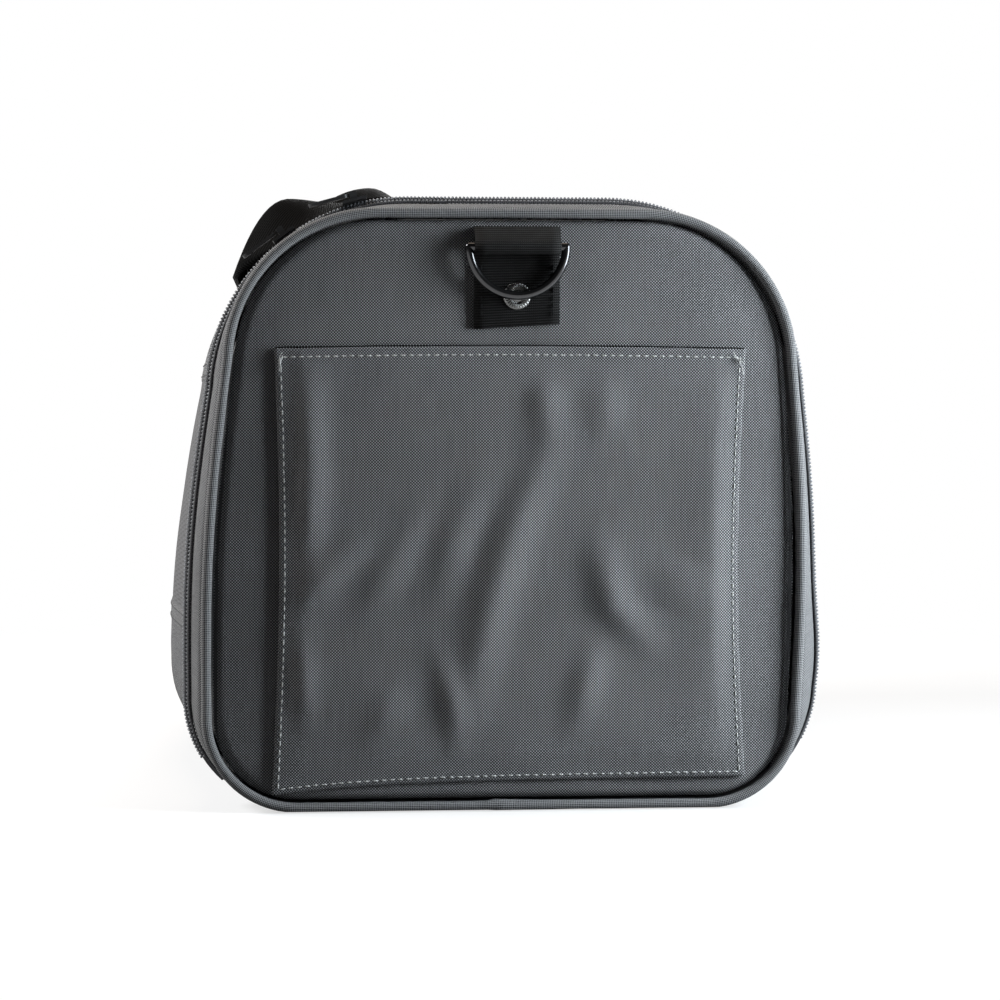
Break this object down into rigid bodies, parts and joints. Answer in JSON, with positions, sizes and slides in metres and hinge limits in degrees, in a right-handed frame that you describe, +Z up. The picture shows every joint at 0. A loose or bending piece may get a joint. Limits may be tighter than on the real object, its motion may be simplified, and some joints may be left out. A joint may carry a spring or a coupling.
{
  "type": "pet carrier bag",
  "caption": "Soft pet carrier with a piped, zip-round end door that drops open, a slip pocket, mesh windows, webbing carry handles and shoulder-strap rings.",
  "frame": {"origin": "centre of the bag's box, on the surface it stands on", "axes": "+X right as seen at the door, +Y along the bag from the door to the rear, +Z up"},
  "size_m": [0.2881, 0.463, 0.2839],
  "materials": {
    "shell_fabric": "coarse woven charcoal polyester with a faint sheen",
    "binding": "folded grosgrain binding tape",
    "mesh": "open knitted ventilation mesh",
    "zip_tape": "woven zip tape",
    "zip_coil": "nylon coil",
    "spring_wire": "plain spring steel in a sleeve",
    "webbing": "ribbed black polypropylene webbing",
    "black_nickel": "polished black nickel plate",
    "board": "stiff board covered in dark cloth",
    "mat": "short fleece",
    "lining": "plain dark lining"
  },
  "bodies": {
    "shell": {"bottom_panel": "shell_fabric", "left_side_panel": "shell_fabric", "right_side_panel": "shell_fabric", "top_panel": "shell_fabric", "left_mesh_window": "mesh", "right_mesh_window": "mesh", "left_window_binding": "binding", "right_window_binding": "binding", "front_sill": "shell_fabric", "body_zip_tape": "zip_tape", "body_zip_coil": "zip_coil", "front_hoop": "spring_wire", "rear_hoop": "spring_wire", "rear_gusset": "shell_fabric", "rear_panel": "shell_fabric", "rear_piping": "shell_fabric", "rear_mesh_window": "mesh", "rear_window_binding": "binding", "rear_ring_tab": "webbing", "rear_rivet": "black_nickel", "base_board": "board", "floor_mat": "mat", "left_handle_patches": "webbing", "right_handle_patches": "webbing"},
    "door": {"door_panel": "shell_fabric", "door_lining": "lining", "door_piping": "shell_fabric", "door_gusset": "shell_fabric", "door_zip_tape": "zip_tape", "door_zip_coil": "zip_coil", "slip_pocket": "shell_fabric", "front_ring_tab": "webbing", "front_rivet": "black_nickel"},
    "front_ring": {"front_d_ring": "black_nickel"},
    "rear_ring": {"rear_d_ring": "black_nickel"},
    "left_carry_handle": {"left_handle": "webbing"},
    "right_carry_handle": {"right_handle": "webbing"},
    "upper_zip_slider": {"upper_slider": "black_nickel"},
    "upper_zip_pull": {"upper_pull": "black_nickel"},
    "lower_zip_slider": {"lower_slider": "black_nickel"},
    "lower_zip_pull": {"lower_pull": "black_nickel"}
  },
  "joints": [
    {"name": "door_drop", "type": "hinge", "parent": "shell", "child": "door", "pos_m": [0, -0.2205, 0.003], "axis": [1, 0, 0], "range_deg": [0, 80]},
    {"name": "front_ring_swing", "type": "hinge", "parent": "door", "child": "front_ring", "pos_m": [0.0045, -0.2276, 0.2435], "axis": [-1, 0, 0], "range_deg": [0, 130]},
    {"name": "rear_ring_swing", "type": "hinge", "parent": "shell", "child": "rear_ring", "pos_m": [0, 0.2276, 0.2435], "axis": [1, 0, 0], "range_deg": [0, 130]},
    {"name": "left_handle_lift", "type": "hinge", "parent": "shell", "child": "left_carry_handle", "pos_m": [-0.02, 0, 0.2686], "axis": [0, 1, 0], "range_deg": [0, 100]},
    {"name": "right_handle_lift", "type": "hinge", "parent": "shell", "child": "right_carry_handle", "pos_m": [0.02, 0, 0.2686], "axis": [0, 1, 0], "range_deg": [0, 100]},
    {"name": "upper_slider_run", "type": "hinge", "parent": "shell", "child": "upper_zip_slider", "pos_m": [-0.04139, -0.1985, 0.178], "axis": [0, 1, 0], "range_deg": [0, 10]},
    {"name": "lower_slider_run", "type": "hinge", "parent": "shell", "child": "lower_zip_slider", "pos_m": [-0.04139, -0.1985, 0.178], "axis": [0, 1, 0], "range_deg": [-46, 0]},
    {"name": "upper_pull_swing", "type": "hinge", "parent": "upper_zip_slider", "child": "upper_zip_pull", "pos_m": [-0.06543, -0.1985, 0.26774], "axis": [0, 1, 0], "range_deg": [0, 120]},
    {"name": "lower_pull_swing", "type": "hinge", "parent": "lower_zip_slider", "child": "lower_zip_pull", "pos_m": [-0.0973, -0.1985, 0.25219], "axis": [0, 1, 0], "range_deg": [0, 120]}
  ]
}
